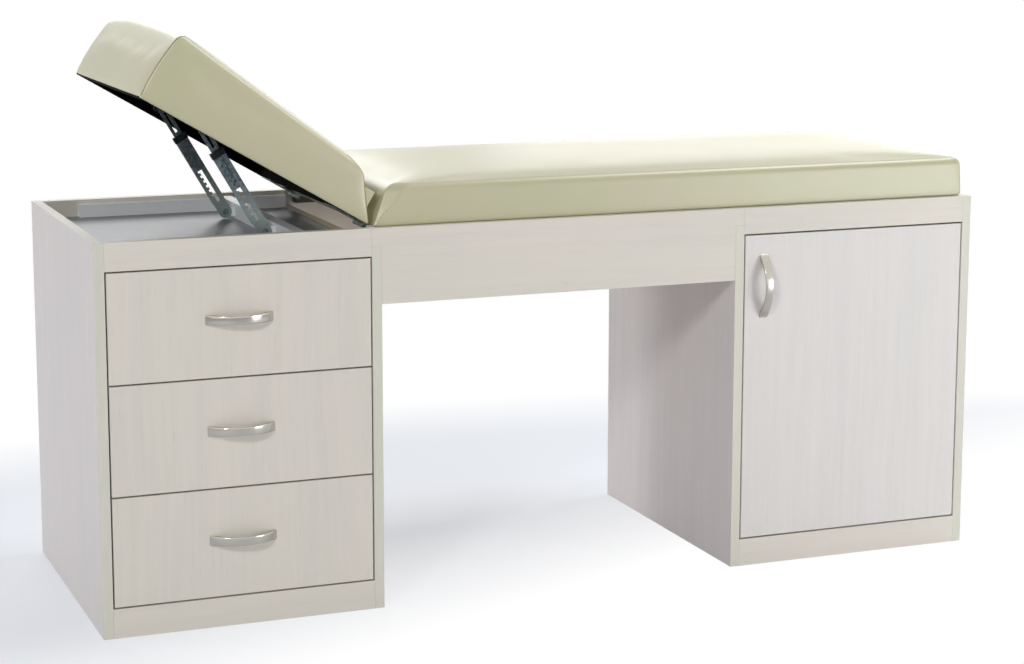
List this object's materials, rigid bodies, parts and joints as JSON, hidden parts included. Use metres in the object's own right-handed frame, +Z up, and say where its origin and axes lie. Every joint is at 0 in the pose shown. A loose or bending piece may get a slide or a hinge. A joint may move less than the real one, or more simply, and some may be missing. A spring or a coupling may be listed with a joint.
{
  "type": "treatment couch",
  "caption": "Treatment couch on a cabinet base: drawer pedestal, door pedestal, knee space, fixed pad and a tilting head pad on ratchet struts.",
  "frame": {"origin": "on the floor, under the middle of the overall footprint", "axes": "+X runs from the head end to the foot end, -Y is the front with the drawers and the door, +Z is up"},
  "size_m": [1.8, 0.638, 1.0891],
  "materials": {
    "laminate": "pale washed ash laminate, satin",
    "white_board": "white melamine board, smooth",
    "plywood": "bare plywood",
    "vinyl": "pale olive upholstery vinyl, soft sheen",
    "black_lining": "boards under black cloth, matt",
    "white_metal": "light grey paint on folded steel",
    "bright_steel": "bright zinc plate",
    "galvanised_steel": "dull galvanised steel",
    "satin_nickel": "satin nickel plate"
  },
  "bodies": {
    "case": {"left_end_panel": "laminate", "right_end_panel": "laminate", "drawer_inner_side": "laminate", "cupboard_inner_side": "laminate", "drawer_case_top": "white_board", "cupboard_case_top": "white_board", "drawer_case_bottom": "laminate", "cupboard_case_bottom": "laminate", "drawer_case_back": "white_board", "cupboard_back": "white_board", "plinths": "laminate", "drawer_top_rail": "laminate", "cupboard_top_rail": "laminate", "front_apron": "laminate", "rear_apron": "laminate", "rear_top_rails": "laminate", "cupboard_shelf": "laminate", "shelf_pins": "bright_steel", "pad_bearers": "plywood", "support_rails": "white_metal", "main_pad_board": "plywood", "main_pad": "vinyl", "case_runners": "bright_steel", "strut_crossbar": "white_metal", "strut_foot_brackets": "bright_steel", "strut_foot_pins": "galvanised_steel", "head_hinge_fixed_leaves": "bright_steel", "head_hinge_pins": "galvanised_steel", "door_hinge_arms": "bright_steel", "door_hinge_plates": "bright_steel"},
    "drawer_top": {"drawer_top_front": "laminate", "drawer_top_handle": "satin_nickel", "drawer_top_box": "white_board", "drawer_top_bottom": "white_board", "drawer_top_runners": "bright_steel"},
    "drawer_middle": {"drawer_middle_front": "laminate", "drawer_middle_handle": "satin_nickel", "drawer_middle_box": "white_board", "drawer_middle_bottom": "white_board", "drawer_middle_runners": "bright_steel"},
    "drawer_bottom": {"drawer_bottom_front": "laminate", "drawer_bottom_handle": "satin_nickel", "drawer_bottom_box": "white_board", "drawer_bottom_bottom": "white_board", "drawer_bottom_runners": "bright_steel"},
    "door": {"door_panel": "laminate", "door_handle": "satin_nickel", "door_hinge_cups": "bright_steel", "door_hinge_pins": "galvanised_steel"},
    "head_section": {"head_pad": "vinyl", "head_pad_board": "black_lining", "head_pad_frame": "black_lining", "head_hinge_moving_leaves": "bright_steel", "strut_top_brackets": "galvanised_steel"},
    "strut_channels": {"strut_channels": "galvanised_steel", "strut_collars": "galvanised_steel"},
    "strut_bars": {"strut_bars": "galvanised_steel", "strut_top_rivets": "galvanised_steel", "strut_catch_pins": "galvanised_steel"}
  },
  "joints": [
    {"name": "drawer_top_slide", "type": "slide", "parent": "case", "child": "drawer_top", "axis": [0, -1, 0], "range_m": [0, 0.34]},
    {"name": "drawer_middle_slide", "type": "slide", "parent": "case", "child": "drawer_middle", "axis": [0, -1, 0], "range_m": [0, 0.34]},
    {"name": "drawer_bottom_slide", "type": "slide", "parent": "case", "child": "drawer_bottom", "axis": [0, -1, 0], "range_m": [0, 0.34]},
    {"name": "door_hinge", "type": "hinge", "parent": "case", "child": "door", "pos_m": [0.856, -0.281, 0.36425], "axis": [0, 0, 1], "range_deg": [0, 95]},
    {"name": "head_hinge", "type": "hinge", "parent": "case", "child": "head_section", "pos_m": [-0.38, 0.014, 0.7225], "axis": [0, 1, 0], "range_deg": [-30.5, 9.5]},
    {"name": "strut_pivot", "type": "hinge", "parent": "case", "child": "strut_channels", "pos_m": [-0.543, 0.014, 0.707], "axis": [0, 1, 0], "range_deg": [-45, 14.2]},
    {"name": "strut_extension", "type": "slide", "parent": "strut_channels", "child": "strut_bars", "axis": [-0.503, 0, 0.8643], "range_m": [-0.0585, 0.0185]}
  ],
  "couplings": [
    {"joint": "strut_pivot", "follows": "head_hinge", "ratio": 1.47},
    {"joint": "strut_extension", "follows": "head_hinge", "m_per_rad": 0.1089}
  ]
}
